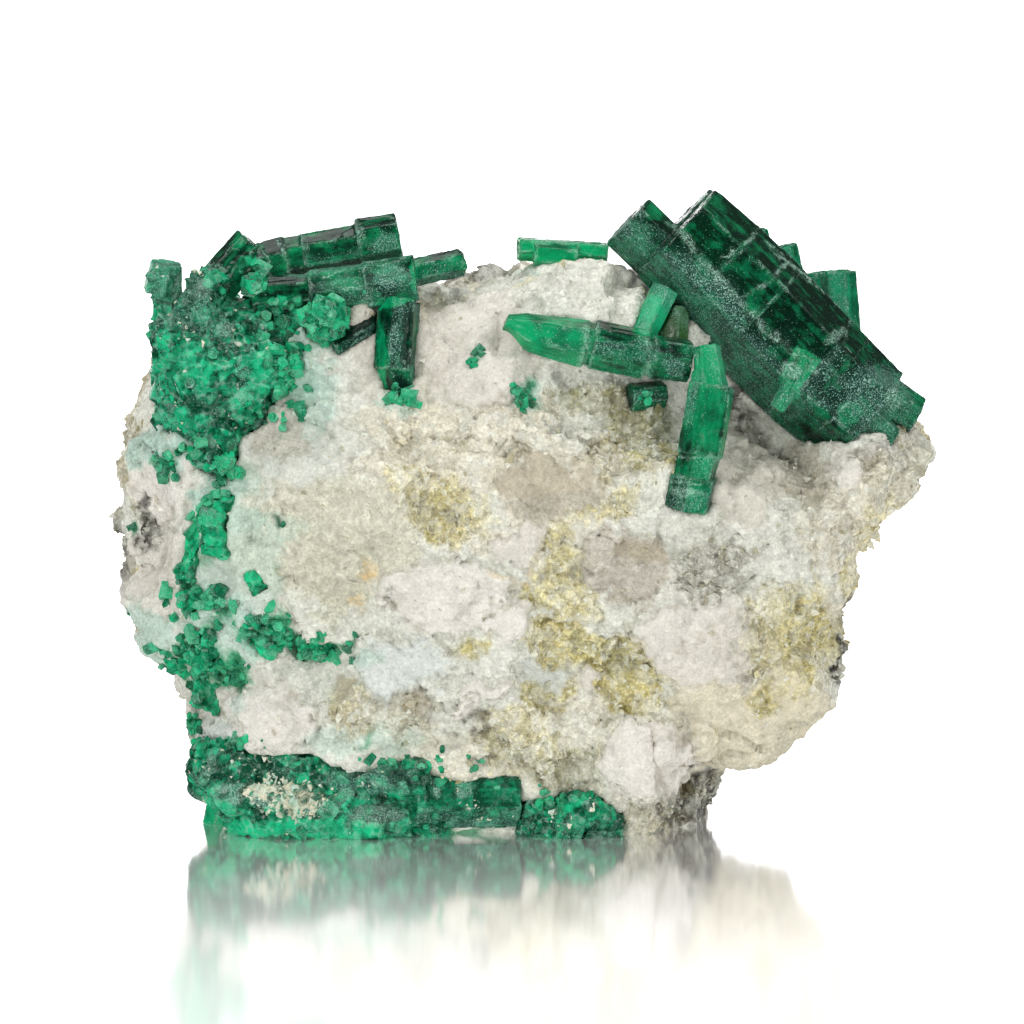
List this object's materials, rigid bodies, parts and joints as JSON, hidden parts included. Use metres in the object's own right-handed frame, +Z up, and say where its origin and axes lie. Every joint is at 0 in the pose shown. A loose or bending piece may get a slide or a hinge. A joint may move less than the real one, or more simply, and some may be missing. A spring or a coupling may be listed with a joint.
{
  "type": "emerald in matrix",
  "caption": "Mineral specimen: six-sided emerald crystals grown on and in a block of pale calcite that stands on a flat foot.",
  "frame": {"origin": "middle of the specimen's box, on the flat foot that it stands on", "axes": "+Z up, +X to the right as seen from the front, where the large crystal is, and the front face with the crystals looks along -Y"},
  "size_m": [0.0915, 0.0563, 0.071],
  "materials": {
    "calcite": "rough white to cream calcite, partly sugary, with yellow-green and grey grains",
    "dark_emerald": "deep green crystal, glossy and frosted faces",
    "bright_emerald": "bright green crystal, glossy and granular",
    "olive_emerald_green": "olive green clear crystal"
  },
  "bodies": {
    "root": {"bent_emerald": "dark_emerald", "calcite_matrix": "calcite", "corner_emerald": "bright_emerald", "crossing_emerald": "dark_emerald", "embedded_emerald": "dark_emerald", "end_emerald": "dark_emerald", "hanging_emerald": "dark_emerald", "large_emerald": "dark_emerald", "left_emerald_mass": "bright_emerald", "lower_emerald_band": "dark_emerald", "lower_long_emerald": "dark_emerald", "lower_right_emerald": "dark_emerald", "olive_emerald": "olive_emerald_green", "rear_emerald_1": "bright_emerald", "rear_emerald_2": "dark_emerald", "rear_emerald_3": "bright_emerald", "rear_emerald_4": "dark_emerald", "rough_green_emerald": "bright_emerald", "short_emerald": "bright_emerald", "side_emerald_1": "bright_emerald", "side_emerald_2": "bright_emerald", "side_emerald_3": "bright_emerald", "side_emerald_4": "bright_emerald", "side_emerald_5": "bright_emerald", "side_emerald_6": "bright_emerald", "side_emerald_7": "bright_emerald", "side_emerald_8": "bright_emerald", "side_emerald_9": "bright_emerald", "slim_dark_emerald": "dark_emerald", "tablet_emerald": "bright_emerald", "upper_long_emerald": "dark_emerald", "upright_emerald": "bright_emerald"}
  },
  "joints": []
}
